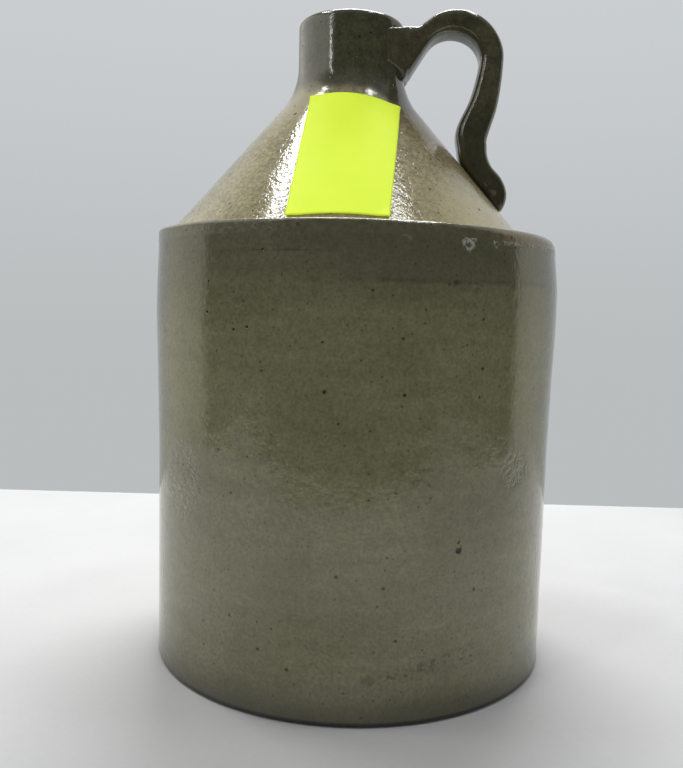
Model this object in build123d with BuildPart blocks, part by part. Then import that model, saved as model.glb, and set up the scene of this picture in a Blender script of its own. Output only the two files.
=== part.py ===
from build123d import *
from math import atan2, cos, degrees, radians, sin
import os

# Stoneware shoulder jug: a jiggered body, a conical top luted on its rim and a pulled strap handle.
# The jug stands on Z = 0 with the body centred on the Z axis. The handle points along +X, and the
# front, which carries the paper tag, faces -Y. Sizes are in millimetres.

# Body: cylinder with its floor, swelling a little under the shoulder
rim_radius = 111.4
base_inset = 1.1
waist_inset = 0.8
belly_swell = 1.0
body_height = 226.5
swell_start = 105.0
belly_drop = 18.0
rim_turn_angle = 11.0
wall_thickness = 9.5
floor_thickness = 12.0
floor_corner = 14.0
base_bevel = 1.6
foot_ring_width = 16.0
base_recess = 1.5

# Luting slip: the layer between two clay faces, and the coil smoothed into the shoulder's inner corner
slip_thickness = 1.0
slip_seat = 0.1
slip_recess = 0.4
coil_leg = 4.0

# Top: flange flush with the body's rim, then cone, neck and rolled lip, set off the body's axis
top_shift = -6.4
flange_thickness = 6.7
ledge_round = 3.0
ledge_width = 13.1
cone_foot_fillet = 2.5
cone_height = 79.8
neck_radius = 29.5
neck_height = 38.2
neck_blend = 38.0
lip_round = 4.0
top_wall = 9.0
bore_radius = 17.0
bore_blend = 18.0
mouth_round = 3.5

# Handle: strap sections and the bends of its centre line
strap_width = 22.0
crown_thickness = 13.2
crown_radius = 21.8
crown_out = 27.2
crown_drop = 21.4
crown_start_angle = 130.0
rise_thickness = 11.4
leg_thickness = 13.1
leg_lean_angle = 14.0
waist_thickness = 16.6
waist_radius = 24.0
foot_thickness = 13.0
foot_width = 25.0
foot_length = 9.8
foot_press = 0.6
nose_radius = 9.0
nose_turn_angle = 70.0
root_height = 35.0
root_width = 39.0
root_drop = 19.6
root_bury = 10.0
root_flare = 4.0
throat_thickness = 17.0
throat_width = 28.0
throat_out = 6.7
throat_drop = 10.8
throat_rise_angle = 30.0
strap_corner_share = 0.4

# Paper tag, stuck on the front of the cone
tag_width = 49.0
tag_top_width = 46.8
tag_length = 88.0
tag_thickness = 0.3
tag_glue = 0.15
tag_lift = 4.4
tag_azimuth_angle = 3.0
tag_tilt_angle = 4.0
tag_reach = 16.0

# Levels and the cone's slope
seam_top = body_height + slip_thickness
ledge_height = seam_top + flange_thickness
neck_base_height = ledge_height + cone_height
lip_height = neck_base_height + neck_height
base_radius = rim_radius - base_inset
inner_radius = rim_radius - wall_thickness
cone_foot_radius = rim_radius - ledge_width
cone_lean = atan2(cone_foot_radius - neck_radius, cone_height)
cone_normal = Vector(cos(cone_lean), sin(cone_lean))
cone_downhill = Vector(sin(cone_lean), -cos(cone_lean))

# The top's own axis, and the plane of its half outline: local x is the radius, local y the height
top_axis = Axis((top_shift, 0, 0), (0, 0, 1))
top_plane = Plane(origin=(top_shift, 0, 0), x_dir=(1, 0, 0), z_dir=(0, -1, 0))


def top_outline(grow):
    """Half outline of the solid cone, neck and lip, with its faces moved outwards by grow."""
    foot = cone_foot_radius + grow / cos(cone_lean)
    neck = neck_radius + grow
    corner_height = ledge_height + (foot - neck) * cone_height / (cone_foot_radius - neck_radius)
    lip = lip_height + grow
    with BuildSketch(top_plane) as outline:
        with BuildLine():
            Polyline(
                (0, seam_top),
                (foot, seam_top),
                (foot, ledge_height),
                (neck, corner_height),
                (neck, lip),
                (0, lip),
                close=True,
            )
        make_face()
        fillet(outline.vertices().sort_by_distance((neck, corner_height))[0], neck_blend - grow)
        fillet(outline.vertices().sort_by_distance((neck, lip))[0], lip_round + grow)
    return outline.sketch


def cone_skin(gap, thickness):
    """Shell of the given thickness that follows the cone, neck and lip, gap clear of them."""
    with BuildPart() as skin:
        revolve(top_outline(gap + thickness), axis=top_axis)
        revolve(top_outline(gap), axis=top_axis, mode=Mode.SUBTRACT)
    return skin.part


# Body
with BuildPart() as body:
    with BuildSketch(Plane.XZ) as body_profile:
        foot_edge = base_radius - base_bevel
        recess_edge = foot_edge - foot_ring_width
        rim_turn = radians(rim_turn_angle)
        with BuildLine():
            wall = Line((base_radius, base_bevel), (rim_radius - waist_inset, swell_start))
            swell = Spline(
                wall @ 1,
                (rim_radius + belly_swell, body_height - belly_drop),
                (rim_radius, body_height),
                tangents=[wall % 1, (-sin(rim_turn), cos(rim_turn))],
            )
            Polyline(
                swell @ 1,
                (inner_radius, body_height),
                (inner_radius, floor_thickness),
                (0, floor_thickness),
                (0, base_recess),
                (recess_edge - base_recess, base_recess),
                (recess_edge, 0),
                (foot_edge, 0),
                wall @ 0,
            )
        make_face()
        fillet(body_profile.vertices().sort_by_distance((inner_radius, floor_thickness))[0], floor_corner)
    revolve(axis=Axis.Z)

# Luting slip at the shoulder, with the coil in the corner under the flange
with BuildPart() as shoulder_slip_ring:
    with BuildSketch(Plane.XZ):
        with BuildLine():
            Polyline(
                (inner_radius, seam_top - coil_leg),
                (inner_radius, body_height),
                (rim_radius - slip_recess, body_height),
                (rim_radius - slip_recess, seam_top),
                (inner_radius - coil_leg, seam_top),
                close=True,
            )
        make_face()
    revolve(axis=Axis.Z)

# Top: flange and solid cone, hollowed to an even wall with a straight bore through the neck
with BuildPart() as shoulder_top:
    with BuildSketch(Plane.XY.offset(seam_top)):
        Circle(rim_radius)
    extrude(amount=flange_thickness)
    rim_edge = shoulder_top.edges().filter_by(GeomType.CIRCLE).sort_by(Axis.Z)[-1]
    fillet(rim_edge, ledge_round)
    revolve(top_outline(0), axis=top_axis)
    foot_circles = shoulder_top.edges().filter_by(GeomType.CIRCLE)
    foot_edge_at = Vector(top_shift + cone_foot_radius, 0, ledge_height)
    fillet(foot_circles.sort_by_distance(foot_edge_at)[0], cone_foot_fillet)
    with BuildSketch(top_plane) as hollow:
        slope = (cone_foot_radius - neck_radius) / cone_height
        hollow_foot = cone_foot_radius - top_wall / cos(cone_lean) + flange_thickness * slope
        bore_base = seam_top + (hollow_foot - bore_radius) / slope
        mouth_radius = bore_radius + mouth_round
        with BuildLine():
            Polyline(
                (0, seam_top),
                (hollow_foot, seam_top),
                (bore_radius, bore_base),
                (bore_radius, lip_height - mouth_round),
            )
            RadiusArc((bore_radius, lip_height - mouth_round), (mouth_radius, lip_height), mouth_round)
            Polyline((mouth_radius, lip_height), (0, lip_height), (0, seam_top))
        make_face()
        fillet(hollow.vertices().sort_by_distance((bore_radius, bore_base))[0], bore_blend)
    revolve(axis=top_axis, mode=Mode.SUBTRACT)

# Centre line of the strap, drawn flat with x outwards and y upwards: over the crown, down the leg,
# round the waist, along the cone and, at the nose, into it
neck_side = top_shift + neck_radius
crown_centre = Vector(neck_side + crown_out, lip_height - crown_drop)
cone_foot = Vector(top_shift + cone_foot_radius, ledge_height)
leg_angle = radians(-90 - leg_lean_angle)
leg_direction = Vector(cos(leg_angle), sin(leg_angle))
leg_outward = Vector(-leg_direction.Y, leg_direction.X)
foot_clearance = foot_thickness / 2 - foot_press
with BuildLine() as strap_line:
    crown = CenterArc(crown_centre, crown_radius, crown_start_angle, -crown_start_angle - leg_lean_angle)
    leg_drop = (crown @ 1 - cone_foot).dot(cone_normal) - foot_clearance
    waist_drop = waist_radius * (1 - leg_outward.dot(cone_normal))
    leg_length = (leg_drop - waist_drop) / -leg_direction.dot(cone_normal)
    leg = Line(crown @ 1, crown @ 1 + leg_direction * leg_length)
    waist = JernArc(leg @ 1, leg % 1, waist_radius, degrees(cone_lean) + leg_lean_angle)
    foot = Line(waist @ 1, waist @ 1 + cone_downhill * foot_length)
    nose = JernArc(foot @ 1, foot % 1, nose_radius, -nose_turn_angle)

# Stations along the strap: centre, direction, thickness and width of each section
root_centre = Vector(neck_side, lip_height - root_drop)
throat_centre = Vector(neck_side + throat_out, lip_height - throat_drop)
throat_direction = Vector(cos(radians(throat_rise_angle)), sin(radians(throat_rise_angle)))
buried_centre = root_centre - Vector(root_bury, 0)
stations = [
    (buried_centre, Vector(1, 0), root_height + root_flare, root_width + 2 * root_flare),
    (root_centre, Vector(1, 0), root_height, root_width),
    (throat_centre, throat_direction, throat_thickness, throat_width),
    (crown @ 0, crown % 0, rise_thickness, strap_width),
    (crown @ 0.35, crown % 0.35, crown_thickness, strap_width),
    (crown @ 0.7, crown % 0.7, crown_thickness, strap_width),
    (leg @ 0, leg % 0, leg_thickness, strap_width),
    (leg @ 0.5, leg % 0.5, (leg_thickness + waist_thickness) / 2, strap_width),
    (leg @ 1, leg % 1, waist_thickness, strap_width),
    (waist @ 0.5, waist % 0.5, waist_thickness, strap_width),
    (foot @ 0, foot % 0, foot_thickness, foot_width),
    (foot @ 1, foot % 1, foot_thickness, foot_width),
    (nose @ 0.5, nose % 0.5, foot_thickness, foot_width),
    (nose @ 1, nose % 1, foot_thickness, foot_width),
]

# Strap blank: one loft that runs from inside the neck to inside the cone
with BuildPart() as strap_blank:
    for centre, along, thickness, width in stations:
        section = Plane(
            origin=(centre.X, 0, centre.Y),
            x_dir=(0, 1, 0),
            z_dir=(along.X, 0, along.Y),
        )
        with BuildSketch(section):
            RectangleRounded(width, thickness, strap_corner_share * thickness)
    loft()

# Handle: the blank, cut back to the slip that beds it on the neck and the cone
with BuildPart() as strap_handle:
    add(strap_blank.part)
    revolve(top_outline(slip_seat + slip_thickness), axis=top_axis, mode=Mode.SUBTRACT)

# Slip pads under the handle's root and foot, a hair clear of the curved faces that they bed on
slip_skin = cone_skin(slip_seat, slip_thickness)
pad_parting = Plane.XY.offset(neck_base_height - neck_blend / 2)
with BuildPart() as handle_neck_slip:
    add(strap_blank.part)
    add(slip_skin, mode=Mode.INTERSECT)
    split(bisect_by=pad_parting, keep=Keep.TOP)
with BuildPart() as handle_cone_slip:
    add(strap_blank.part)
    add(slip_skin, mode=Mode.INTERSECT)
    split(bisect_by=pad_parting, keep=Keep.BOTTOM)

# Paper tag: the part of a thin skin on the cone that lies behind an upright card
tag_around = radians(tag_azimuth_angle)
tag_front = Vector(sin(tag_around), -cos(tag_around), 0)
tag_out = tag_front * cone_normal.X + Vector(0, 0, cone_normal.Y)
tag_middle = tag_lift + tag_length / 2
tag_radius = cone_foot_radius - tag_middle * sin(cone_lean)
tag_height = ledge_height + tag_middle * cos(cone_lean)
tag_centre = Vector(top_shift, 0, tag_height) + tag_front * tag_radius
tag_across = Vector(cos(tag_around), sin(tag_around), 0)
with BuildPart() as paper_tag:
    with BuildSketch(Plane(origin=tag_centre, x_dir=tag_across, z_dir=tag_out)):
        with Locations(Rotation(0, 0, -tag_tilt_angle)):
            Polygon(
                (-tag_width / 2, -tag_length / 2),
                (tag_width / 2, -tag_length / 2),
                (tag_top_width / 2, tag_length / 2),
                (-tag_top_width / 2, tag_length / 2),
            )
    extrude(amount=tag_reach, both=True)
    add(cone_skin(tag_glue, tag_thickness), mode=Mode.INTERSECT)

body.part.label = "body"
shoulder_slip_ring.part.label = "shoulder_slip_ring"
shoulder_top.part.label = "shoulder_top"
strap_handle.part.label = "strap_handle"
handle_neck_slip.part.label = "handle_neck_slip"
handle_cone_slip.part.label = "handle_cone_slip"
paper_tag.part.label = "paper_tag"

os.makedirs("parts", exist_ok=True)
export_step(body.part, "parts/body.step")
export_step(shoulder_slip_ring.part, "parts/shoulder_slip_ring.step")
export_step(shoulder_top.part, "parts/shoulder_top.step")
export_step(strap_handle.part, "parts/strap_handle.step")
export_step(handle_neck_slip.part, "parts/handle_neck_slip.step")
export_step(handle_cone_slip.part, "parts/handle_cone_slip.step")
export_step(paper_tag.part, "parts/paper_tag.step")
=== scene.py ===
import math

import bpy
from mathutils import Matrix, Vector, noise


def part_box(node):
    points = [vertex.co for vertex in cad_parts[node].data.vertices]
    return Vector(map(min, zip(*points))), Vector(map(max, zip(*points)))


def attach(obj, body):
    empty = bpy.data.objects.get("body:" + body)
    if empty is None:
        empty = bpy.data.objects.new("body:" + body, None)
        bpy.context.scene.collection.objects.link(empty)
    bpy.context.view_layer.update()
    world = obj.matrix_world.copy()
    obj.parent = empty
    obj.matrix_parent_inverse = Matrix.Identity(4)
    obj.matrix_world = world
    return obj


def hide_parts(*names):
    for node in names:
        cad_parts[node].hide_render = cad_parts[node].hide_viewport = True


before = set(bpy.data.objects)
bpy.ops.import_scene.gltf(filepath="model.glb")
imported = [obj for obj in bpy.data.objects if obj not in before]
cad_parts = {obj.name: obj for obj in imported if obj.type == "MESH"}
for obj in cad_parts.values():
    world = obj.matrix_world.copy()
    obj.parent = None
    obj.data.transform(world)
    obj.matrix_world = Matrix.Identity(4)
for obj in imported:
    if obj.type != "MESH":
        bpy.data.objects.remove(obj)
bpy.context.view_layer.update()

# Stoneware shoulder jug in metres, Z up: the handle points along +X and the front faces -Y.
# Angles round the jug count from +X in the meshes and from the front in the glazes.

_, BODY_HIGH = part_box("body")
TOP_LOW, TOP_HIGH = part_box("shoulder_top")

# Body. The wall's insets from the belly stand at even steps from the foot to the seam.
BELLY_RADIUS = BODY_HIGH.x
RIM_RADIUS = TOP_HIGH.x
BODY_HEIGHT = BODY_HIGH.z
WALL_INSETS = (0.0021, 0.002, 0.0019, 0.0018, 0.0015, 0.0008, 0.0001, 0.001)
WALL = 0.0095
FLOOR = 0.012
FLOOR_CORNER = 0.014
BASE_BEVEL = 0.0016
FOOT_RING = 0.016
BASE_RECESS = 0.0015
SHOULDER_SAG = 0.0015
SAG_START = 0.205
RIM_BAND = 0.004
RIM_EDGE = 0.002

# Seam between body and top
SEAM_BAND = 0.003
SEAM_EDGE = 0.003
COIL = 0.004

# Unevenness of the clay
WOBBLE = 0.00014
THROWING_RINGS = 0.00007
DENTS = 0.00004
SURFACE_DROP = 0.0002
EVEN_FOOT = 0.004

# Top
TOP_AXIS_X = -0.0064
SEAM_TOP = TOP_LOW.z
LIP_HEIGHT = TOP_HIGH.z
LEDGE_HEIGHT = 0.2342
LEDGE_ROUND_LEFT = 0.0018
LEDGE_ROUND_RIGHT = 0.0062
CONE_FOOT = 0.0983
CONE_FILLET = 0.0022
NECK_HEIGHT = 0.0382
NECK_RADIUS = 0.0295
NECK_BLEND = 0.038
LIP_ROUND = 0.004
MOUTH_ROUND = 0.0035
BORE_RADIUS = 0.017
BORE_BLEND = 0.018
TOP_WALL = 0.009
NECK_BASE = LIP_HEIGHT - NECK_HEIGHT
CONE_HEIGHT = NECK_BASE - LEDGE_HEIGHT
CONE_LEAN = math.atan2(CONE_FOOT - NECK_RADIUS, CONE_HEIGHT)
CONE_NORMAL = Vector((math.cos(CONE_LEAN), math.sin(CONE_LEAN)))
CONE_DOWNHILL = Vector((math.sin(CONE_LEAN), -math.cos(CONE_LEAN)))
BLEND_OUT = NECK_RADIUS + NECK_BLEND
BLEND_DROP = (BLEND_OUT - CONE_FOOT) * CONE_NORMAL.x
BLEND_CENTRE = Vector((BLEND_OUT, LEDGE_HEIGHT + (NECK_BLEND - BLEND_DROP) / CONE_NORMAL.y))

# Handle, with angles in degrees
STRAP_WIDTH = 0.023
STRAP_SQUARENESS = 3.6
CROWN_RADIUS = 0.0213
CROWN_OUT = 0.0271
CROWN_DROP = 0.0212
CROWN_START = 135.6
CROWN_END = -13.3
RISE_THICK = 0.0105
CROWN_THICK = 0.013
LEG_THICK = 0.0134
LEG_BOW = 0.0009
WAIST_THICK = 0.0176
WAIST_INWARD = 0.0009
WAIST_RADIUS = 0.0258
FOOT_THICK = 0.013
FOOT_WIDTH = 0.025
FOOT_LENGTH = 0.0086
FOOT_PRESS = 0.0006
PRESS_REACH = 0.006
NOSE_RADIUS = 0.009
NOSE_TURN = 100.0
NOSE_THINNING = 0.08
NOSE_NARROWING = 0.06
# Sections at the neck: upper edge and lower edge, each out from the neck's side and down from the
# lip, then width and the squareness of the upper and lower half.
ROOT_SECTIONS = (
    ((-0.0135, 0.0016), (-0.0135, 0.0405), 0.046, 6.0, 2.4),
    ((-0.01, 0.0012), (-0.01, 0.041), 0.0444, 6.0, 2.4),
    ((-0.0055, 0.001), (-0.005, 0.0405), 0.0374, 6.0, 2.4),
    ((0.0, 0.0012), (0.0, 0.0376), 0.0302, 5.0, 2.6),
    ((0.0026, 0.0016), (0.0032, 0.0292), 0.0266, 4.4, 2.9),
    ((0.0048, 0.0024), (0.0088, 0.0198), 0.0244, 3.9, 3.2),
)
ROOT_FLARE = 0.009
LIP_FLARE = 0.0012
FOOT_FLARE = 0.003
FLARE_SINK = 0.0003
ON_NECK_START = NECK_BASE - 0.014
ON_NECK_END = NECK_BASE - 0.004
DIMPLE = Vector((0.0722, 0.2618))
DIMPLE_RADIUS = 0.0058
DIMPLE_DEPTH = 0.0014

# Beads of slip along the handle's two contacts. Width, rise and lumps are shares of the radius.
HANDLE_PARTING = NECK_BASE - NECK_BLEND / 2
ROOT_BEAD = 0.00035
FOOT_BEAD = 0.0007
BEAD_WIDTH = 1.6
BEAD_RISE = 0.7
BEAD_LUMPS = 0.5
LUMPS_PER_METRE = 160

# Paper tag, with angles in degrees
TAG_WIDTH = 0.0482
TAG_TOP_WIDTH = 0.0485
TAG_LENGTH = 0.0905
TAG_THICK = 0.0003
TAG_GLUE = 0.00015
TAG_LIFT = 0.004
TAG_AROUND = 3.09
TAG_TILT = 4.44
TAG_SKEW = 0.0032
TAG_CORNER_LIFT = 0.0007
TAG_WAVE = 0.00012

# Mesh steps, as counts and then as lengths
ROUND_STEPS = 420
GLAZED_BEVEL_ROWS = 4
SIDE_ROWS = 4
LEDGE_ROWS = 8
UNDER_ROWS = 6
STRAP_STEPS = 64
STRAP_SPAN_STEPS = 16
CROWN_SPANS = 5
BEND_SPANS = 3
BEAD_STEPS = 10
BEAD_SPAN_STEPS = 3
BEAD_SMOOTHING = 3
TAG_COLUMNS = 48
TAG_ROWS = 84
POLE_RADIUS = 0.004
FINE_STEP = 0.0008
LIP_STEP = 0.0016
WALL_STEP = 0.0018
RIM_STEP = 0.003
MIDDLE_STEP = 0.004
COARSE_STEP = 0.006

# Material slots of the body
GLAZED, BARE, LINED = 0, 1, 2

# Glaze, and single marks on the wall: degrees from the front, height, half width, half height and
# raggedness
GLAZE_IOR = 1.58
STAIN = (8.2, 0.0229, 0.004, 0.0034, 0.9)
SCAR = (30.6, 0.0842, 0.0024, 0.0038, 1.0)
LARGE_CHIP_AND_GLINT = (30.3, 0.2265, 0.0042, 0.0066, 1.0)
SMALL_CHIP_AND_GLINT = (38.5, 0.2268, 0.0022, 0.003, 1.0)
SMUDGE = (14.5, 0.2265, 0.003, 0.006, 1.0)
RIGHT_PITS = (49.7, 0.1175, 0.014, 0.011, 0.5)
LEFT_PITS = (-47.4, 0.1066, 0.02, 0.024, 0.5)

# White table top
TABLE_LEFT = -0.7
TABLE_RIGHT = 0.75
TABLE_FRONT = -0.535
TABLE_BACK_LEFT = 0.309
TABLE_BACK_RIGHT = 0.39

# Lamps: place, target, width, depth and power in watts
LAMPS = {
    "overhead_left": ((-0.49, 0.18, 1.28), (-0.49, 0.18, 0), 0.09, 0.28, 2.8),
    "overhead_near": ((-0.52, -0.12, 1.28), (-0.52, -0.12, 0), 0.12, 0.12, 1.0),
    "overhead_right": ((0.37, -0.06, 1.28), (0.37, -0.06, 0), 0.14, 0.18, 1.1),
    "overhead_back": ((0.05, 0.55, 1.3), (0.05, 0.55, 0), 0.7, 0.35, 13),
    "tall_strip": ((-1.0, -1.15, 1.2), (0, 0, 0.6), 0.05, 0.9, 2.4),
}

# The photograph's camera, fitted: pixels, metres and radians
PHOTO_HEIGHT = 768
FOCAL_PIXELS = 810.14
CAMERA_DISTANCE = 0.4699
CAMERA_HEIGHT = 0.1941
CAMERA_PITCH = 0.0925
CAMERA_ROLL = 0.025
CAMERA_YAW = -0.0153
CAMERA_AROUND = math.radians(3)


def smooth(low, high, value):
    """Rises from 0 at low to 1 at high."""
    t = min(max((value - low) / (high - low), 0.0), 1.0)
    return t * t * (3 - 2 * t)


def mix(a, b, share):
    return a + (b - a) * share


def spline(a, b, c, d, t):
    """Smooth curve from b to c whose slopes come from their neighbours a and d."""
    return 0.5 * (
        2 * b
        + (c - a) * t
        + (2 * a - 5 * b + 4 * c - d) * t * t
        + (3 * b - a - 3 * c + d) * t * t * t
    )


def arc(centre, radius, start, end, steps):
    """Points on an arc in the half plane of radius and height, with angles in degrees."""
    turns = [math.radians(mix(start, end, k / steps)) for k in range(steps + 1)]
    x, y = centre
    return [Vector((x + radius * math.cos(t), y + radius * math.sin(t))) for t in turns]


def line(start, end, step):
    """Points from start up to, but without, end."""
    start, end = Vector(start), Vector(end)
    count = max(1, math.ceil((end - start).length / step))
    return [start.lerp(end, k / count) for k in range(count)]


def new_piece(name, verts, faces, materials, face_materials=None, sharp=()):
    """Smooth mesh object that rides on the jug. The rings of vertices listed in sharp are creases."""
    mesh = bpy.data.meshes.new(name)
    mesh.from_pydata(verts, [], faces)
    mesh.polygons.foreach_set("use_smooth", [True] * len(mesh.polygons))
    for material in materials:
        mesh.materials.append(material)
    if face_materials:
        mesh.polygons.foreach_set("material_index", face_materials)
    for edge in mesh.edges:
        rings = {v // ROUND_STEPS for v in edge.vertices}
        edge.use_edge_sharp = len(rings) == 1 and rings <= set(sharp)
    mesh.validate()
    mesh.update()
    piece = bpy.data.objects.new(name, mesh)
    bpy.context.scene.collection.objects.link(piece)
    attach(piece, "root")
    return piece


def ring_faces(rows, steps, wrap_rows=False):
    """Quads between closed rings of vertices, row after row."""
    faces = []
    for i in range(rows if wrap_rows else rows - 1):
        below, above = i * steps, (i + 1) % rows * steps
        for j in range(steps):
            k = (j + 1) % steps
            faces.append((below + j, below + k, above + k, above + j))
    return faces


def right_share(turn):
    """1 on the handle's side of the shoulder, where the clay slumped, and 0 on the other side."""
    return smooth(-0.1, 1.0, math.cos(turn))


def sag(turn, height):
    """How far the wall sits in on the handle's side, towards the shoulder."""
    return SHOULDER_SAG * right_share(turn) * smooth(SAG_START, LEDGE_HEIGHT, height)


def revolve(profile, inset):
    """Rings of vertices round the body's axis, drawn in by what inset gives for a turn and a point."""
    verts = []
    for p in profile:
        for j in range(ROUND_STEPS):
            turn = math.tau * j / ROUND_STEPS
            radius = p.x - inset(turn, p)
            verts.append(Vector((radius * math.cos(turn), radius * math.sin(turn), p.y)))
    return verts


def unevenness(point):
    """Slow wobble, faint throwing rings and dents, in metres along the surface's normal."""
    slow = noise.noise(point * 14) + 0.5 * noise.noise(point * 41)
    rings = noise.noise(Vector((point.x * 7, point.y * 7, point.z * 95)))
    dents = noise.noise(point * 130)
    return WOBBLE * slow + THROWING_RINGS * rings + DENTS * dents - SURFACE_DROP


def weather(piece, share=None):
    """Moves each vertex along its normal, or straight out at the seam, by the unevenness there."""
    mesh = piece.data
    normals = [v.normal.copy() for v in mesh.vertices]
    for vertex, normal in zip(mesh.vertices, normals):
        amount = unevenness(vertex.co)
        if share:
            amount *= share(vertex.co)
        flat = Vector((vertex.co.x, vertex.co.y, 0))
        at_seam = BODY_HEIGHT - SEAM_BAND < vertex.co.z < SEAM_TOP + SEAM_BAND
        if at_seam and flat.length > RIM_RADIUS - RIM_BAND:
            normal = flat.normalized()
        vertex.co += normal * amount
    mesh.update()


# Body


def wall_radius(height):
    """Outer radius of the body: drawn in a little low down, swelling under the shoulder."""
    last = len(WALL_INSETS) - 1
    place = min(max(height / SEAM_TOP * last, 0), last - 1e-6)
    i = int(place)
    near = [WALL_INSETS[min(max(i + k, 0), last)] for k in (-1, 0, 1, 2)]
    return BELLY_RADIUS - spline(*near, place - i)


def make_body(glaze, clay, lining):
    """Cylinder with its floor: bare underside, glazed wall and slip-lined inside."""
    foot = wall_radius(0) - BASE_BEVEL
    recess = foot - FOOT_RING
    inner = RIM_RADIUS - WALL
    corner = (inner - FLOOR_CORNER, FLOOR + FLOOR_CORNER)
    heights = [*line((0, BASE_BEVEL), (0, BODY_HEIGHT), WALL_STEP), Vector((0, BODY_HEIGHT))]
    under = [
        *line((POLE_RADIUS, BASE_RECESS), (recess - BASE_RECESS, BASE_RECESS), COARSE_STEP),
        *line((recess - BASE_RECESS, BASE_RECESS), (recess, 0), FINE_STEP),
        *line((recess, 0), (foot, 0), MIDDLE_STEP),
        *arc((foot, BASE_BEVEL), BASE_BEVEL, -90, -20, steps=5),
    ]
    wall = [Vector((wall_radius(p.y), p.y)) for p in heights]
    rim = line((RIM_RADIUS - RIM_EDGE, BODY_HEIGHT), (inner, BODY_HEIGHT), RIM_STEP)
    inside = [
        *line((inner, BODY_HEIGHT), (inner, corner[1]), COARSE_STEP),
        *arc(corner, FLOOR_CORNER, 0, -90, steps=10),
        *line((corner[0] - RIM_STEP, FLOOR), (POLE_RADIUS, FLOOR), COARSE_STEP),
        Vector((POLE_RADIUS, FLOOR)),
    ]
    profile = under + wall + rim + inside
    verts = revolve(profile, lambda turn, p: sag(turn, p.y) if p.x > RIM_RADIUS - RIM_BAND else 0)
    faces = ring_faces(len(profile), ROUND_STEPS)
    glazed_from = len(under) - GLAZED_BEVEL_ROWS
    lined_from = len(under) + len(wall) + len(rim)
    slots = []
    for i in range(len(profile) - 1):
        slot = BARE if i < glazed_from else GLAZED if i < lined_from else LINED
        slots += [slot] * ROUND_STEPS
    last = (len(profile) - 1) * ROUND_STEPS
    faces.append(tuple(reversed(range(ROUND_STEPS))))
    faces.append(tuple(range(last, last + ROUND_STEPS)))
    slots += [BARE, LINED]
    rim_edge = len(under) + len(wall) - 1
    body = new_piece("jug_body", verts, faces, [glaze, clay, lining], slots, [rim_edge])
    weather(body, lambda p: smooth(0, EVEN_FOOT, p.z))
    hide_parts("body")


# Top


def top_clearance(point):
    """Distance from the cone, neck and their blend, and the surface's normal there."""
    around = Vector((point.x - TOP_AXIS_X, point.y))
    flat = Vector((around.length, point.z))
    from_blend = flat - BLEND_CENTRE
    if flat.y >= BLEND_CENTRE.y:
        normal, clear = Vector((1, 0)), flat.x - NECK_RADIUS
    elif from_blend.dot(CONE_DOWNHILL) >= 0:
        normal, clear = CONE_NORMAL, (flat - Vector((CONE_FOOT, LEDGE_HEIGHT))).dot(CONE_NORMAL)
    else:
        normal, clear = -from_blend.normalized(), NECK_BLEND - from_blend.length
    side = around.normalized() * normal.x
    return clear, Vector((side.x, side.y, normal.y))


def top_profile(turn):
    """Closed outline of the top at one angle: (radius, height, axis) rows, and how many are glazed."""
    rounding = mix(LEDGE_ROUND_LEFT, LEDGE_ROUND_RIGHT, right_share(turn))
    rim = RIM_RADIUS - sag(turn, LEDGE_HEIGHT)
    seam_rim = RIM_RADIUS - sag(turn, SEAM_TOP)
    side_end = LEDGE_HEIGHT - rounding
    lean = math.degrees(CONE_LEAN)
    rows = []
    for k in range(SIDE_ROWS):
        share = k / SIDE_ROWS
        rows.append((mix(seam_rim, rim, share), mix(SEAM_TOP, side_end, share), 0))
    rows += [(p.x, p.y, 0) for p in arc((rim - rounding, side_end), rounding, 0, 90, steps=10)]
    fillet_turn = 90 - lean
    ledge_end = CONE_FOOT + CONE_FILLET * math.tan(math.radians(fillet_turn) / 2)
    for k in range(1, LEDGE_ROWS):
        share = k / LEDGE_ROWS
        rows.append((mix(rim - rounding, ledge_end, share), LEDGE_HEIGHT, TOP_AXIS_X * share))

    fillet_centre = (ledge_end, LEDGE_HEIGHT + CONE_FILLET)
    fillet = arc(fillet_centre, CONE_FILLET, -90, -90 - fillet_turn, steps=5)
    blend = arc(BLEND_CENTRE, NECK_BLEND, 180 + lean, 180, steps=14)
    lip = arc((NECK_RADIUS - LIP_ROUND, LIP_HEIGHT - LIP_ROUND), LIP_ROUND, 0, 90, steps=8)
    mouth_centre = (BORE_RADIUS + MOUTH_ROUND, LIP_HEIGHT - MOUTH_ROUND)
    mouth = arc(mouth_centre, MOUTH_ROUND, 90, 180, steps=8)
    slope = math.tan(CONE_LEAN)
    hollow_foot = CONE_FOOT - TOP_WALL / math.cos(CONE_LEAN) + (LEDGE_HEIGHT - SEAM_TOP) * slope
    bore_base = SEAM_TOP + (hollow_foot - BORE_RADIUS) / slope
    bend = BORE_BLEND * math.tan(CONE_LEAN / 2)
    throat_centre = (BORE_RADIUS + BORE_BLEND, bore_base + bend)
    throat = arc(throat_centre, BORE_BLEND, 180, 180 + lean, steps=8)
    outside = [
        *fillet,
        *line(fillet[-1], blend[0], WALL_STEP)[1:],
        *blend,
        *line(blend[-1], lip[0], WALL_STEP)[1:],
        *lip,
        *line(lip[-1], mouth[0], LIP_STEP)[1:],
        *mouth,
    ]
    inside = [
        *line(mouth[-1], throat[0], MIDDLE_STEP)[1:],
        *throat,
        *line(throat[-1], (hollow_foot, SEAM_TOP), COARSE_STEP)[1:],
        Vector((hollow_foot, SEAM_TOP)),
    ]
    rows += [(p.x, p.y, TOP_AXIS_X) for p in outside]
    glazed = len(rows)
    rows += [(p.x, p.y, TOP_AXIS_X) for p in inside]
    for k in range(1, UNDER_ROWS):
        share = k / UNDER_ROWS
        rows.append((mix(hollow_foot, seam_rim, share), SEAM_TOP, TOP_AXIS_X * (1 - share)))
    return rows, glazed


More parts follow.
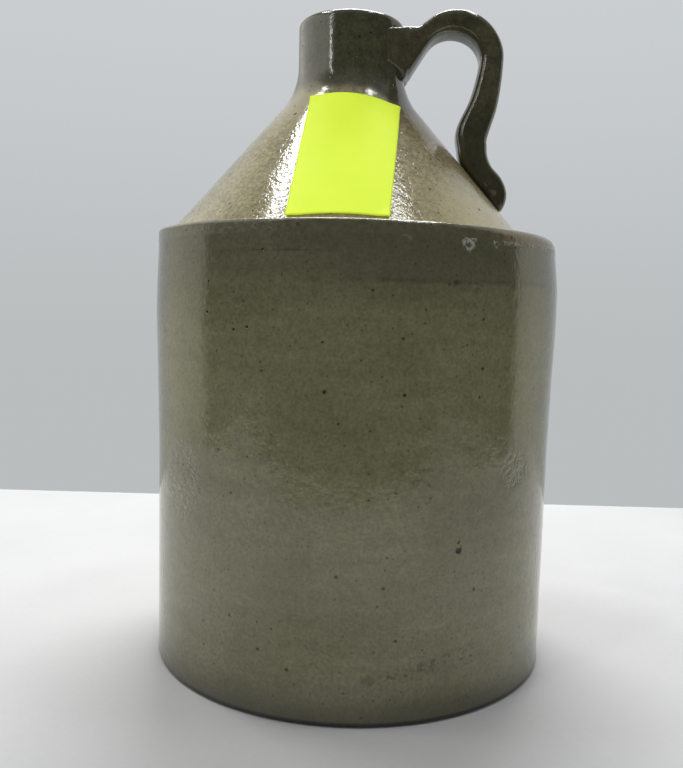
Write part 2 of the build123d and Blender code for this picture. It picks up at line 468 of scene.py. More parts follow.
def make_top(glaze, lining):
    """Flange, cone, neck and rolled lip, hollow to the bored mouth."""
    columns = [top_profile(math.tau * j / ROUND_STEPS)[0] for j in range(ROUND_STEPS)]
    glazed = top_profile(0)[1]
    count = len(columns[0])
    verts = []
    for i in range(count):
        for j in range(ROUND_STEPS):
            turn = math.tau * j / ROUND_STEPS
            radius, height, axis = columns[j][i]
            verts.append(Vector((axis + radius * math.cos(turn), radius * math.sin(turn), height)))
    faces = ring_faces(count, ROUND_STEPS, wrap_rows=True)
    slots = [0 if i < glazed else 1 for i in range(count) for _ in range(ROUND_STEPS)]
    top = new_piece("jug_top", verts, faces, [glaze, lining], slots, [0])
    weather(top)
    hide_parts("shoulder_top")


def make_seam(glaze):
    """Luting slip at the shoulder: flush outside, smoothed into a coil inside."""
    inner = RIM_RADIUS - WALL
    outer = wall_radius(BODY_HEIGHT)
    profile = [
        Vector((inner, SEAM_TOP - COIL)),
        Vector((inner, BODY_HEIGHT)),
        Vector((outer - SEAM_EDGE, BODY_HEIGHT)),
        Vector((outer, BODY_HEIGHT)),
        Vector((RIM_RADIUS, SEAM_TOP)),
        Vector((RIM_RADIUS - SEAM_EDGE, SEAM_TOP)),
        Vector((inner - COIL, SEAM_TOP)),
        Vector((inner - COIL * 0.4, SEAM_TOP - COIL * 0.5)),
    ]
    verts = revolve(profile, lambda turn, p: sag(turn, p.y))
    faces = ring_faces(len(profile), ROUND_STEPS, wrap_rows=True)
    seam = new_piece("shoulder_seam", verts, faces, [glaze], sharp=[3, 4])
    weather(seam)
    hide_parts("shoulder_slip_ring")


# Handle


def flat_direction(degrees):
    return Vector((math.cos(math.radians(degrees)), math.sin(math.radians(degrees))))


def strap_stations():
    """Outer and inner point, half width, outer and inner squareness of each section of the handle."""
    neck_side = TOP_AXIS_X + NECK_RADIUS
    crown = Vector((neck_side + CROWN_OUT, LIP_HEIGHT - CROWN_DROP))
    stations = []

    def add(centre, heading, thickness, width):
        across = flat_direction(heading + 90) * thickness / 2
        squareness = (STRAP_SQUARENESS, STRAP_SQUARENESS)
        stations.append((centre + across, centre - across, width / 2, *squareness))

    for *edges, width, upper_squareness, lower_squareness in ROOT_SECTIONS:
        outer, inner = (Vector((neck_side + out, LIP_HEIGHT - drop)) for out, drop in edges)
        stations.append((outer, inner, width / 2, upper_squareness, lower_squareness))
    for k in range(CROWN_SPANS + 1):
        share = k / CROWN_SPANS
        turn = mix(CROWN_START, CROWN_END, share)
        painted_window_light = mix(RISE_THICK, CROWN_THICK, smooth(0, 0.4, share))
        thickness = mix(painted_window_light, LEG_THICK, smooth(0.6, 1, share))
        add(crown + flat_direction(turn) * CROWN_RADIUS, turn - 90, thickness, STRAP_WIDTH)

    outward = flat_direction(CROWN_END)
    leg_start = crown + outward * CROWN_RADIUS
    leg_heading = CROWN_END - 90
    leg = flat_direction(leg_heading)
    cone_foot = Vector((TOP_AXIS_X + CONE_FOOT, LEDGE_HEIGHT))
    foot_clear = FOOT_THICK / 2 - FOOT_PRESS
    drop = (leg_start - cone_foot).dot(CONE_NORMAL) - foot_clear
    waist_drop = WAIST_RADIUS * (1 - outward.dot(CONE_NORMAL))
    leg_end = leg_start + leg * ((drop - waist_drop) / -leg.dot(CONE_NORMAL))
    leg_middle = leg_start.lerp(leg_end, 0.5) + outward * LEG_BOW
    add(leg_middle, leg_heading, mix(LEG_THICK, WAIST_THICK, 0.5), STRAP_WIDTH)
    add(leg_end - outward * WAIST_INWARD, leg_heading, WAIST_THICK, STRAP_WIDTH)

    foot_heading = math.degrees(math.atan2(CONE_DOWNHILL.y, CONE_DOWNHILL.x))
    waist_centre = leg_end + flat_direction(leg_heading + 90) * WAIST_RADIUS
    for k in range(1, BEND_SPANS + 1):
        share = k / BEND_SPANS
        heading = mix(leg_heading, foot_heading, share)
        centre = waist_centre + flat_direction(heading - 90) * WAIST_RADIUS
        thickness = mix(WAIST_THICK, FOOT_THICK, share)
        add(centre, heading, thickness, mix(STRAP_WIDTH, FOOT_WIDTH, share))
    foot_start = waist_centre + flat_direction(foot_heading - 90) * WAIST_RADIUS
    foot_end = foot_start + CONE_DOWNHILL * FOOT_LENGTH
    add(foot_end, foot_heading, FOOT_THICK, FOOT_WIDTH)
    nose_centre = foot_end - CONE_NORMAL * NOSE_RADIUS
    for k in range(1, BEND_SPANS + 1):
        heading = foot_heading - NOSE_TURN * k / BEND_SPANS
        centre = nose_centre + flat_direction(heading + 90) * NOSE_RADIUS
        thickness = FOOT_THICK * (1 - NOSE_THINNING * k)
        add(centre, heading, thickness, FOOT_WIDTH * (1 - NOSE_NARROWING * k))
    return stations


def strap_sections():
    """The stations with smooth steps between them."""
    stations = strap_stations()
    last = len(stations) - 1
    sections = []
    for i in range(last):
        near = [stations[min(max(i + k, 0), last)] for k in (-1, 0, 1, 2)]
        for k in range(STRAP_SPAN_STEPS):
            share = k / STRAP_SPAN_STEPS
            sections.append([spline(*values, share) for values in zip(*near)])
    sections.append(stations[last])
    return sections


def power(value, exponent):
    """Power of the size, with the value's sign."""
    return math.copysign(abs(value) ** exponent, value)


def bed_handle(mesh):
    """Flares the handle where it meets the top, presses its foot down and dents it with a thumb."""
    normals = [v.normal.copy() for v in mesh.vertices]
    for vertex, normal in zip(mesh.vertices, normals):
        clear, away = top_clearance(vertex.co)
        on_neck = smooth(ON_NECK_START, ON_NECK_END, vertex.co.z)
        root_reach = mix(ROOT_FLARE, LIP_FLARE, smooth(0.2, 0.9, normal.z))
        reach = mix(FOOT_FLARE, root_reach, on_neck)
        depth = min(max(reach - clear - FLARE_SINK, 0), reach)
        flare = reach - math.sqrt(reach * reach - depth * depth)
        along = normal - away * normal.dot(away)
        press = FOOT_PRESS * (1 - smooth(0, PRESS_REACH, clear)) * (1 - on_neck)
        vertex.co += along * flare
        risen, away = top_clearance(vertex.co)
        vertex.co -= away * (risen - clear + press)
        from_dimple = (Vector((vertex.co.x, vertex.co.z)) - DIMPLE).length
        sideways = smooth(0.3, 0.8, abs(normal.y))
        dent = DIMPLE_DEPTH * (1 - smooth(0, DIMPLE_RADIUS, from_dimple)) * sideways
        vertex.co.y -= math.copysign(dent, normal.y)
    mesh.update()


def make_handle(glaze):
    """Pulled strap, worked into the neck with a flared joint and thumbed onto the cone."""
    sections = strap_sections()
    rows = len(sections)
    verts = []
    for outer, inner, half_width, outer_squareness, inner_squareness in sections:
        centre = (outer + inner) / 2
        across = (outer - inner) / 2
        for j in range(STRAP_STEPS):
            turn = math.tau * j / STRAP_STEPS
            squareness = outer_squareness if j < STRAP_STEPS / 2 else inner_squareness
            side = half_width * power(math.cos(turn), 2 / squareness)
            flat = centre + across * power(math.sin(turn), 2 / squareness)
            verts.append(Vector((flat.x, side, flat.y)))
    faces = [tuple(reversed(face)) for face in ring_faces(rows, STRAP_STEPS)]
    faces.append(tuple(range(STRAP_STEPS)))
    faces.append(tuple(reversed(range((rows - 1) * STRAP_STEPS, rows * STRAP_STEPS))))
    handle = new_piece("jug_handle", verts, faces, [glaze])
    bed_handle(handle.data)
    weather(handle)
    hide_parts("strap_handle")
    return handle


def contact_line(mesh, low, high):
    """Smoothed loop of points where the handle's mesh enters the top, between two heights."""
    rows = len(mesh.vertices) // STRAP_STEPS
    points = []
    for j in range(STRAP_STEPS):
        contact = None
        for i in range(rows - 1):
            a = mesh.vertices[i * STRAP_STEPS + j].co
            b = mesh.vertices[(i + 1) * STRAP_STEPS + j].co
            if not low < a.z < high:
                continue
            clear_a, clear_b = top_clearance(a)[0], top_clearance(b)[0]
            if (clear_a > 0) != (clear_b > 0):
                contact = a.lerp(b, clear_a / (clear_a - clear_b))
        if contact:
            points.append(contact)
    count = len(points)
    for _ in range(BEAD_SMOOTHING):
        points = [
            (points[k - 1] + points[k] * 2 + points[(k + 1) % count]) / 4 for k in range(count)
        ]
    return points


def contact_bead(name, handle_mesh, low, high, radius, node, material):
    """Lumpy line of slip along the handle's contact with the top, between two heights."""
    points = contact_line(handle_mesh, low, high)
    count = len(points)
    rows = count * BEAD_SPAN_STEPS
    verts = []
    for row in range(rows):
        i, t = divmod(row, BEAD_SPAN_STEPS)
        near = [points[(i + k) % count] for k in (-1, 0, 1, 2)]
        here = spline(*near, t / BEAD_SPAN_STEPS)
        ahead = (near[2] - near[0]).normalized()
        away = top_clearance(here)[1]
        aside = ahead.cross(away).normalized()
        thick = radius * (1 + BEAD_LUMPS * noise.noise(here * LUMPS_PER_METRE))
        for j in range(BEAD_STEPS):
            turn = math.tau * j / BEAD_STEPS
            offset = aside * math.cos(turn) * BEAD_WIDTH + away * math.sin(turn) * BEAD_RISE
            verts.append(here + offset * thick)
    piece = new_piece(name, verts, ring_faces(rows, BEAD_STEPS, wrap_rows=True), [material])
    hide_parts(node)


# Paper tag


def tag_points():
    """Grid of points on the tag's front, then on its back, bent to the cone."""
    apex = CONE_FOOT / math.sin(CONE_LEAN)
    middle = apex - TAG_LIFT - TAG_LENGTH / 2
    tilt = Matrix.Rotation(math.radians(-TAG_TILT), 2)
    points = []
    for layer in (1, 0):
        for i in range(TAG_ROWS + 1):
            up = i / TAG_ROWS - 0.5
            width = mix(TAG_WIDTH, TAG_TOP_WIDTH, i / TAG_ROWS)
            for j in range(TAG_COLUMNS + 1):
                side = j / TAG_COLUMNS - 0.5
                skew = TAG_SKEW * side * (0.5 - up)
                flat = tilt @ Vector((side * width, up * TAG_LENGTH + skew))
                slant = math.hypot(flat.x, middle - flat.y)
                fan = math.atan2(flat.x, middle - flat.y)
                turn = fan / math.sin(CONE_LEAN) + math.radians(TAG_AROUND)
                radius = slant * math.sin(CONE_LEAN)
                height = LEDGE_HEIGHT + (apex - slant) * math.cos(CONE_LEAN)
                corner = smooth(0.36, 0.5, abs(side)) * smooth(0.42, 0.5, abs(up))
                wave = TAG_WAVE * noise.noise(Vector((flat.x * 60, flat.y * 45, 3)))
                lift = TAG_GLUE + TAG_THICK * layer + TAG_CORNER_LIFT * corner + abs(wave)
                out = Vector((math.sin(turn), -math.cos(turn), 0))
                normal = out * CONE_NORMAL.x + Vector((0, 0, CONE_NORMAL.y))
                points.append(Vector((TOP_AXIS_X, 0, height)) + out * radius + normal * lift)
    return points


def make_tag(paper):
    """Blank tag, bent to the cone and lifting a little at its corners."""
    stride = TAG_COLUMNS + 1
    sheet = stride * (TAG_ROWS + 1)
    faces = []
    for i in range(TAG_ROWS):
        for j in range(TAG_COLUMNS):
            a = i * stride + j
            b = a + stride
            faces.append((a, a + 1, b + 1, b))
            faces.append((sheet + b, sheet + b + 1, sheet + a + 1, sheet + a))
    edge = list(range(stride))
    edge += [i * stride + TAG_COLUMNS for i in range(1, TAG_ROWS + 1)]
    edge += [TAG_ROWS * stride + j for j in range(TAG_COLUMNS - 1, -1, -1)]
    edge += [i * stride for i in range(TAG_ROWS - 1, 0, -1)]
    for a, b in zip(edge, edge[1:] + edge[:1]):
        faces.append((b, a, sheet + a, sheet + b))
    tag = new_piece("blank_tag", tag_points(), faces, [paper])
    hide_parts("paper_tag")


# Materials


def colour(red, green, blue):
    return (red, green, blue, 1)


class Nodes:
    """A node tree, with short ways to add to it."""

    def __init__(self, tree):
        self.tree = tree

    def node(self, kind, inputs=None, **settings):
        made = self.tree.nodes.new("ShaderNode" + kind)
        for key, value in settings.items():
            setattr(made, key, value)
        for key, value in (inputs or {}).items():
            self.feed(made.inputs[key], value)
        return made

    def feed(self, socket, value):
        if isinstance(value, bpy.types.NodeSocket):
            self.tree.links.new(value, socket)
        else:
            socket.default_value = value

    def math(self, operation, a, b=0.0, c=0.0):
        return self.node("Math", {0: a, 1: b, 2: c}, operation=operation).outputs[0]

    def add(self, *values):
        total = values[0]
        for value in values[1:]:
            total = self.math("ADD", total, value)
        return total

    def times(self, *values):
        total = values[0]
        for value in values[1:]:
            total = self.math("MULTIPLY", total, value)
        return total

    def step(self, value, low, high, start=0.0, end=1.0):
        """Goes smoothly from start at low to end at high."""
        inputs = {"Value": value, "From Min": low, "From Max": high, "To Min": start, "To Max": end}
        return self.node("MapRange", inputs, interpolation_type="SMOOTHSTEP").outputs[0]


class Surface(Nodes):
    """A material's node tree, with short ways to add what the glazes need."""

    def __init__(self, name, ior=None):
        self.material = bpy.data.materials.new(name)
        self.material.use_nodes = True
        super().__init__(self.material.node_tree)
        self.shader = self.tree.nodes["Principled BSDF"]
        if ior:
            self.shader.inputs["IOR"].default_value = ior
        self.place = self.node("TexCoord").outputs["Object"]
        x, y, self.height = self.node("SeparateXYZ", {"Vector": self.place}).outputs
        self.around = self.math("ARCTAN2", x, self.times(y, -1))
        self.side = self.math("SINE", self.around)

    def mix(self, share, a, b, blend="MIX"):
        inputs = {0: share, 6: a, 7: b}
        return self.node("Mix", inputs, data_type="RGBA", blend_type=blend).outputs[2]

    def tint(self, tone, mask, share, other):
        """The tone, moved towards the other one by a share where the mask is 1."""
        return self.mix(self.times(mask, share), tone, other)

    def noise(self, size, detail=2.0, stretch=(1, 1, 1)):
        place = self.node("Mapping", {"Vector": self.place, "Scale": stretch}).outputs[0]
        inputs = {"Vector": place, "Scale": 1 / size, "Detail": detail, "Roughness": 0.55}
        return self.node("TexNoise", inputs).outputs[0]

    def blotches(self, size, first, second):
        """Soft patches of two tones."""
        return self.mix(self.step(self.noise(size, 3), 0.35, 0.65), first, second)

    def shade(self, tone, value, low, high, span=0.22):
        """Darkens and lightens a tone by a noise value round 0.5."""
        level = self.step(value, 0.5 - span, 0.5 + span, low, high)
        grey = self.node("CombineColor", {0: level, 1: level, 2: level}).outputs[0]
        return self.mix(1.0, tone, grey, "MULTIPLY")

    def ragged_place(self, size):
        """The place, shifted by fine noise so that spots lose their round outline."""
        inputs = {"Vector": self.place, "Scale": 5 / size, "Detail": 1.0}
        shift = self.node("TexNoise", inputs).outputs["Color"]
        inputs = {0: shift, 1: (0.06 * size,) * 3, 2: (-0.03 * size,) * 3}
        moved = self.node("VectorMath", inputs, operation="MULTIPLY_ADD").outputs[0]
        return self.node("VectorMath", {0: self.place, 1: moved}, operation="ADD").outputs[0]

    def specks(self, spacing, radius, rarity=3.0):
        """Round spots up to the given radius, one at most in each cell, the largest ones rare."""
        inputs = {"Vector": self.ragged_place(spacing), "Scale": 1 / spacing}
        cells = self.node("TexVoronoi", inputs)
        chance = self.node("SeparateColor", {"Color": cells.outputs["Color"]}).outputs[0]
        size = self.times(self.math("POWER", chance, rarity), radius / spacing)
        edge = self.math("SUBTRACT", cells.outputs["Distance"], size)
        return self.step(edge, 0.0, -0.25 * radius / spacing)

    def spot(self, degrees, height, half_width, half_height, ragged):
        """Soft-edged patch on the wall, at an angle from the front and a height."""
        side = self.math("SUBTRACT", self.around, math.radians(degrees))
        across = self.math("DIVIDE", side, half_width / BELLY_RADIUS)
        up = self.math("DIVIDE", self.math("SUBTRACT", self.height, height), half_height)
        reach = self.add(self.math("POWER", across, 2), self.math("POWER", up, 2))
        edge = self.math("MULTIPLY_ADD", self.noise(half_height, 3), 2 * ragged, -ragged)
        return self.step(self.add(reach, edge), 1.0, 0.2)

    def band(self, value, middle, half):
        """1 at the middle value, falling to 0 at half a width to either side."""
        return self.step(self.math("ABSOLUTE", self.math("SUBTRACT", value, middle)), half, 0.0)

    def paint(self, tone):
        self.feed(self.shader.inputs["Base Color"], tone)

    def rough(self, low, high, size):
        value = self.step(self.noise(size, 3), 0.3, 0.7, low, high)
        self.feed(self.shader.inputs["Roughness"], value)

    def relief(self, *layers):
        """Bump from pairs of a value and its height in metres."""
        height = self.add(*[self.times(value, rise) for value, rise in layers])
        made = self.node("Bump", {"Height": height, "Strength": 1.0, "Distance": 1.0})
        self.feed(self.shader.inputs["Normal"], made.outputs[0])


def body_glaze():
    g = Surface("body_glaze", GLAZE_IOR)
    tone = g.blotches(0.06, colour(0.2, 0.196, 0.107), colour(0.24, 0.228, 0.132))
    tone = g.mix(g.step(g.height, 0.175, 0.228), tone, colour(0.137, 0.134, 0.08))
    tone = g.shade(tone, g.noise(0.012, 4, (0.25, 0.25, 1.6)), 0.92, 1.06)
    tone = g.shade(tone, g.noise(0.0045, 4), 0.92, 1.06)
    tone = g.shade(tone, g.noise(0.0016, 3), 0.84, 1.13)

    # A dark line under the shoulder on the left, and a brown tide line with smears on the right.
    wander = g.math("MULTIPLY_ADD", g.noise(0.05, 3), 0.006, -0.003)
    level = g.add(g.height, wander)
    broken = g.step(g.noise(0.016, 3), 0.4, 0.62)
    left = g.times(broken, g.step(g.side, 0.05, -0.2))
    upper = g.times(g.band(g.height, 0.2196, 0.0008), left)
    tone = g.tint(tone, upper, 0.55, colour(0.06, 0.052, 0.034))
    right = g.step(g.side, -0.25, 0.2)
    above = g.times(g.step(level, 0.2055, 0.209), right)
    tone = g.tint(tone, above, 0.35, colour(0.085, 0.08, 0.055))
    tide = g.times(g.band(level, 0.2078, 0.0022), right, broken)
    tone = g.tint(tone, tide, 0.5, colour(0.07, 0.05, 0.032))
    drips = g.times(g.band(level, 0.2085, 0.007), right, g.specks(0.0055, 0.0024, 1))
    tone = g.tint(tone, drips, 0.55, colour(0.045, 0.036, 0.024))

    # Iron: fine pepper, freckles, and larger spots with a brown halo.
    pepper = g.specks(0.0026, 0.0007, 1.5)
    freckles = g.specks(0.0046, 0.0008, 1.2)
    spots = g.specks(0.0072, 0.0011, 1.6)
    halo = g.specks(0.0072, 0.002, 1.6)
    tone = g.tint(tone, pepper, 0.42, colour(0.06, 0.05, 0.034))
    tone = g.tint(tone, halo, 0.16, colour(0.11, 0.075, 0.04))
    tone = g.tint(tone, freckles, 0.6, colour(0.05, 0.038, 0.024))
    tone = g.tint(tone, spots, 0.88, colour(0.02, 0.016, 0.011))

    # Single marks: a stain, a scar, a slanted rub near the foot, chips and a smudge at the shoulder.
    tone = g.tint(tone, g.spot(*STAIN), 0.4, colour(0.07, 0.048, 0.028))
    scar = g.times(g.spot(*SCAR), g.step(g.noise(0.0024, 2), 0.42, 0.48))
    tone = g.mix(scar, tone, colour(0.009, 0.008, 0.006))
    grime = g.step(g.noise(0.0026, 3), 0.5, 0.64)
    slant = g.add(g.height, g.times(g.around, -0.0214), g.times(wander, 0.4))
    stretch = g.times(g.step(g.around, 0.14, 0.24), g.step(g.around, 0.72, 0.56))
    rub = g.times(g.band(slant, 0.0202, 0.0058), stretch, grime)
    tone = g.tint(tone, rub, 0.62, colour(0.055, 0.047, 0.032))
    # Chips: pale for the clay they bare, and paler still as a painted highlight on their edges.
    chip_and_glint = g.math("MAXIMUM", g.spot(*LARGE_CHIP_AND_GLINT), g.spot(*SMALL_CHIP_AND_GLINT))
    chip_and_glint = g.times(chip_and_glint, g.step(g.noise(0.0019, 3), 0.42, 0.56))
    tone = g.tint(tone, chip_and_glint, 0.7, colour(0.5, 0.49, 0.41))
    smudge = g.times(g.spot(*SMUDGE), g.step(g.noise(0.0019, 3), 0.46, 0.6))
    tone = g.tint(tone, smudge, 0.25, colour(0.4, 0.39, 0.33))

    # Glaze of the top creeping over the shoulder beside the handle, ochre and pitted at its edge.
    beside = g.times(g.step(g.around, 0.62, 0.76), g.step(g.around, 2.0, 1.6))
    creep_level = g.add(g.height, g.times(wander, 0.8))
    creep = g.times(beside, g.step(creep_level, 0.225, 0.2266))
    creep = g.times(creep, g.step(g.noise(0.0035, 3), 0.4, 0.56))
    tone = g.tint(tone, creep, 0.75, colour(0.3, 0.25, 0.15))
    holes = g.times(creep, g.specks(0.0024, 0.0013, 0.7))
    tone = g.tint(tone, holes, 0.9, colour(0.04, 0.024, 0.012))

    # Painted shade darkening the wall towards the foot, and a painted contact shadow where it stands.
    tone = g.mix(g.step(g.height, 0.024, 0.0, 0.0, 0.75), tone, colour(0.075, 0.07, 0.05))
    painted_contact_shadow = g.step(g.height, 0.0034, 0.0016)
    tone = g.tint(tone, painted_contact_shadow, 0.94, colour(0.01, 0.009, 0.008))
    g.paint(tone)
    g.rough(0.05, 0.12, 0.02)

    pits = g.math("MAXIMUM", g.spot(*RIGHT_PITS), g.spot(*LEFT_PITS))
    crater = g.times(pits, g.step(g.noise(0.0024, 2), 0.6, 0.42))
    away_from_front = g.step(g.math("ABSOLUTE", g.around), 0.6, 1.0)
    scratches = g.times(away_from_front, g.noise(0.0022, 3, (1, 1, 0.35)))
    g.relief(
        (g.noise(0.0045, 2), 0.00014),
        (g.noise(0.0016, 2), 0.00004),
        (scratches, 0.0001),
        (crater, -0.0003),
        (spots, -0.00012),
        (scar, -0.0004),
        (chip_and_glint, 0.0002),
        (creep, 0.0003),
        (holes, -0.0004),
    )
    return g.material


def top_glaze():
    g = Surface("top_glaze", GLAZE_IOR)
    tone = g.blotches(0.03, colour(0.375, 0.336, 0.184), colour(0.465, 0.41, 0.232))
    tone = g.shade(tone, g.noise(0.006, 4), 0.84, 1.1)
    tone = g.shade(tone, g.noise(0.0017, 3), 0.66, 1.22)

    # Brown high up and cream low down on the handle's side; the brown is partly painted shade of the
    # handle.
    handle_side = g.step(g.side, 0.3, 0.72)
    brown_and_handle_shade = g.times(handle_side, g.step(g.height, 0.262, 0.294))
    tone = g.tint(tone, brown_and_handle_shade, 0.58, colour(0.17, 0.13, 0.076))
    cream = g.times(handle_side, g.step(g.height, 0.268, 0.246))
    tone = g.tint(tone, cream, 0.85, colour(0.62, 0.55, 0.34))
    # Painted light: paler tan under the neck on the left, as if lit from the window side.
    painted_window_light = g.times(g.step(g.height, 0.28, 0.306), g.step(g.side, -0.34, -0.68))
    tone = g.tint(tone, painted_window_light, 0.9, colour(0.58, 0.53, 0.35))

    # Olive glaze of the neck, running lower beside the handle, and of the flange under the ledge.
    run = g.step(g.side, 0.2, 0.72, 0.0, 0.01)
    lift = g.step(g.side, -0.3, -0.68, 0.0, -0.003)
    ragged = g.math("MULTIPLY_ADD", g.noise(0.008, 4), 0.009, -0.0045)
    neck = g.step(g.add(g.height, ragged, run, lift), 0.3035, 0.3135)
    olive = g.shade(colour(0.085, 0.084, 0.05), g.noise(0.004, 3), 0.76, 1.16)
    olive = g.shade(olive, g.noise(0.0014, 3), 0.8, 1.15)
    tone = g.mix(neck, tone, olive)
    flange = g.step(g.height, LEDGE_HEIGHT, 0.2328)
    left = g.step(g.side, -0.2, -0.56)
    slump = g.step(g.side, 0.48, 0.75)
    flange_tone = g.mix(left, colour(0.128, 0.125, 0.076), colour(0.165, 0.16, 0.1))
    flange_tone = g.mix(slump, flange_tone, colour(0.165, 0.135, 0.068))
    flange_tone = g.shade(flange_tone, g.noise(0.003, 3), 0.82, 1.12)
    tone = g.mix(flange, tone, flange_tone)

    # Iron, with a cluster of grains between the tag and the handle.
    pepper = g.specks(0.0024, 0.0007, 1.5)
    freckles = g.specks(0.0042, 0.0009, 2)
    spots = g.specks(0.0064, 0.0014, 2)
    cluster = g.times(g.band(g.around, 0.66, 0.3), g.band(g.height, 0.274, 0.022))
    grains = g.times(g.specks(0.0033, 0.0011, 1), cluster)
    tone = g.tint(tone, grains, 0.9, colour(0.035, 0.024, 0.015))
    tone = g.tint(tone, pepper, 0.55, colour(0.09, 0.062, 0.034))
    tone = g.tint(tone, freckles, 0.7, colour(0.06, 0.042, 0.025))
    tone = g.tint(tone, spots, 0.85, colour(0.028, 0.02, 0.013))
    g.paint(tone)
    g.rough(0.07, 0.15, 0.012)
    orange_peel = g.step(g.height, 0.275, 0.31, 1.0, 0.38)
    g.relief(
        (g.noise(0.004, 2), g.times(orange_peel, 0.00022)),
        (g.noise(0.0017, 2), g.times(orange_peel, 0.00016)),
        (spots, -0.00015),
    )
    return g.material


def handle_glaze():
    g = Surface("handle_glaze", GLAZE_IOR)
    tone = g.blotches(0.02, colour(0.065, 0.063, 0.036), colour(0.098, 0.092, 0.054))
    tone = g.shade(tone, g.noise(0.004, 4), 0.8, 1.14)
    tone = g.shade(tone, g.noise(0.0014, 3), 0.8, 1.14)
    tone = g.tint(tone, g.specks(0.0036, 0.0008, 2), 0.5, colour(0.03, 0.022, 0.014))
    tone = g.tint(tone, g.specks(0.0064, 0.0011, 2), 0.8, colour(0.02, 0.015, 0.01))
    # Painted shade: darker towards the foot, where the strap sits in the shadow between the leg and
    # the cone.
    tone = g.mix(g.step(g.height, 0.31, 0.275, 0.0, 0.7), tone, colour(0.05, 0.049, 0.027))
    g.paint(tone)
    g.rough(0.06, 0.14, 0.015)
    g.relief((g.noise(0.006, 2), 0.00025), (g.noise(0.0018, 2), 0.00005))
    return g.material


def bare_clay():
    g = Surface("bare_clay")
    tone = g.blotches(0.02, colour(0.4, 0.34, 0.25), colour(0.5, 0.43, 0.32))
    tone = g.shade(tone, g.noise(0.0015, 3), 0.8, 1.1)
    g.paint(g.tint(tone, g.specks(0.004, 0.0007), 0.6, colour(0.12, 0.09, 0.06)))
    g.rough(0.75, 0.9, 0.01)
    g.relief((g.noise(0.0012, 3), 0.0002))
    return g.material


def inner_slip():
    g = Surface("inner_slip")
    tone = g.blotches(0.03, colour(0.05, 0.026, 0.014), colour(0.085, 0.045, 0.024))
    g.paint(g.shade(tone, g.noise(0.003, 3), 0.85, 1.12))
    g.rough(0.2, 0.35, 0.01)
    g.relief((g.noise(0.004, 2), 0.00015))
    return g.material


def tag_paper():
    g = Surface("tag_paper")
    tone = g.blotches(0.02, colour(0.74, 0.95, 0.03), colour(0.79, 0.98, 0.04))
    g.paint(g.shade(tone, g.noise(0.0006, 3, (1, 1, 3)), 0.96, 1.0))
    g.rough(0.55, 0.68, 0.01)
    g.shader.inputs["Specular IOR Level"].default_value = 0.25
    # Painted light: a faint glow that makes the paper brighter than the lamps make it.
    g.shader.inputs["Emission Color"].default_value = colour(0.7, 0.9, 0.06)
    g.shader.inputs["Emission Strength"].default_value = 0.36
    g.relief((g.noise(0.0008, 2), 0.00001))
    return g.material


def floor_white():
    g = Surface("floor_white")
    tone = g.blotches(0.15, colour(0.8, 0.805, 0.8), colour(0.83, 0.835, 0.83))
    g.paint(g.shade(tone, g.noise(0.004, 3), 0.98, 1.0))
    g.rough(0.45, 0.6, 0.05)
    return g.material


# Stage, light and camera


def make_floor():
    """White table top that ends behind the jug and just behind the camera."""
    mesh = bpy.data.meshes.new("floor")
    corners = [
        (TABLE_LEFT, TABLE_FRONT, 0),
        (TABLE_RIGHT, TABLE_FRONT, 0),
        (TABLE_RIGHT, TABLE_BACK_RIGHT, 0),
        (TABLE_LEFT, TABLE_BACK_LEFT, 0),
    ]
    mesh.from_pydata(corners, [], [(0, 1, 2, 3)])
    mesh.materials.append(floor_white())
    floor = bpy.data.objects.new("floor", mesh)
    bpy.context.scene.collection.objects.link(floor)


def make_lamp(name, place, target, width, depth, watts):
    data = bpy.data.lights.new(name, "AREA")
    data.shape = "RECTANGLE"
    data.size = width
    data.size_y = depth
    data.energy = watts
    lamp = bpy.data.objects.new(name, data)
    lamp.location = place
    lamp.rotation_euler = (Vector(target) - Vector(place)).to_track_quat("-Z", "Y").to_euler()
    lamp.visible_camera = False
    bpy.context.scene.collection.objects.link(lamp)


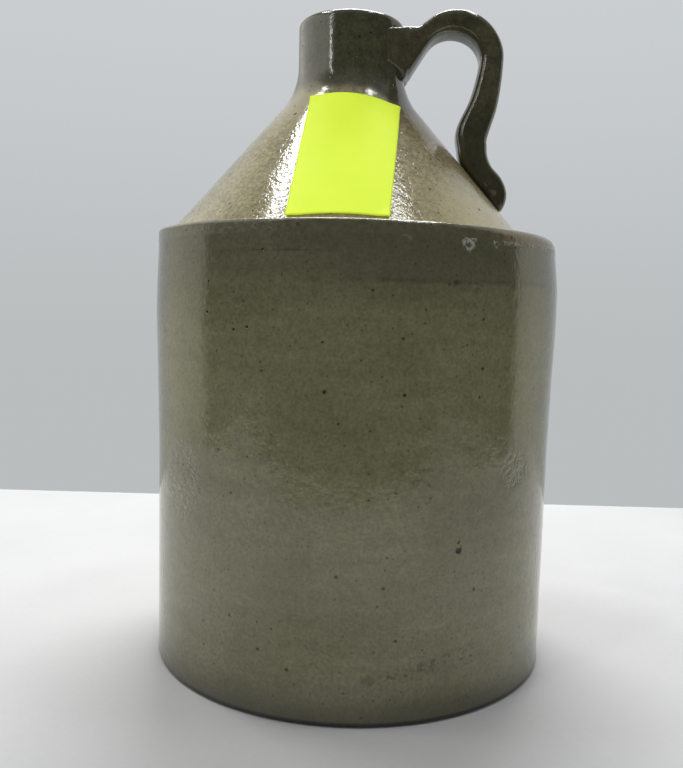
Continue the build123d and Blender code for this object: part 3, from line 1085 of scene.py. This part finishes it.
def make_world():
    """Pale backdrop for the camera, even light on the jug, and a dim room in its reflections."""
    world = bpy.data.worlds.new("studio")
    bpy.context.scene.world = world
    world.use_nodes = True
    w = Nodes(world.node_tree)

    def light(red, green, blue, strength=1.0):
        inputs = {"Color": colour(red, green, blue), "Strength": strength}
        return w.node("Background", inputs).outputs[0]

    def between(share, first, second):
        return w.node("MixShader", {0: share, 1: first, 2: second}).outputs[0]

    path = w.node("LightPath").outputs
    direction = w.node("TexCoord").outputs["Generated"]
    x, y, z = w.node("SeparateXYZ", {"Vector": direction}).outputs
    backdrop = between(w.step(z, -0.1, 0.4), light(0.485, 0.51, 0.515), light(0.6, 0.62, 0.64))

    # The room: dark towards the camera, pale at the sides, with a window on the left and a ceiling.
    sideways = w.math("MULTIPLY_ADD", x, -0.1225, y)
    room = between(w.step(sideways, -0.01, 0.15), light(0.03, 0.03, 0.03), light(0.84, 0.82, 0.7))
    room = between(w.step(y, 0.35, 0.8), room, backdrop)
    window = w.times(w.step(x, -0.45, -0.75), w.step(z, 0.14, 0.3))
    room = between(window, room, light(1.0, 0.98, 0.9, 1.6))
    room = between(w.step(z, 0.55, 0.85), room, light(0.3, 0.3, 0.3))

    lit = between(path["Is Glossy Ray"], light(0.97, 0.98, 1.0, 0.3), room)
    direct = w.math("MAXIMUM", path["Is Camera Ray"], path["Is Transmission Ray"])
    seen = between(direct, lit, backdrop)
    w.feed(w.tree.nodes["World Output"].inputs["Surface"], seen)


def make_camera():
    """The photograph's camera: fitted place, pitch, roll, yaw and focal length."""
    level = math.cos(CAMERA_PITCH)
    forward = Vector((
        math.sin(CAMERA_YAW) * level,
        math.cos(CAMERA_YAW) * level,
        -math.sin(CAMERA_PITCH),
    ))
    right = Vector((math.cos(CAMERA_YAW), -math.sin(CAMERA_YAW), 0))
    up = right.cross(forward)
    upright = Matrix((right, up, -forward)).transposed()
    turn = Matrix.Rotation(CAMERA_AROUND, 3, "Z")
    rotation = turn @ upright @ Matrix.Rotation(CAMERA_ROLL, 3, "Z")
    place = turn @ Vector((0, -CAMERA_DISTANCE, CAMERA_HEIGHT))
    data = bpy.data.cameras.new("photo_camera")
    data.sensor_width = 36
    data.lens = FOCAL_PIXELS / PHOTO_HEIGHT * data.sensor_width
    data.clip_start = 0.01
    camera = bpy.data.objects.new("photo_camera", data)
    camera.matrix_world = Matrix.Translation(place) @ rotation.to_4x4()
    bpy.context.scene.collection.objects.link(camera)
    bpy.context.scene.camera = camera


bpy.context.scene.view_settings.view_transform = "Standard"
make_camera()
make_floor()
make_world()
for lamp_name, lamp_values in LAMPS.items():
    make_lamp(lamp_name, *lamp_values)

lining = inner_slip()
wall_glaze = body_glaze()
strap_glaze = handle_glaze()
make_body(wall_glaze, bare_clay(), lining)
make_top(top_glaze(), lining)
make_seam(wall_glaze)
strap = make_handle(strap_glaze).data
contact_bead(
    "root_slip", strap, HANDLE_PARTING, LIP_HEIGHT, ROOT_BEAD, "handle_neck_slip", strap_glaze
)
contact_bead(
    "foot_slip", strap, LEDGE_HEIGHT, HANDLE_PARTING, FOOT_BEAD, "handle_cone_slip", strap_glaze
)
make_tag(tag_paper())
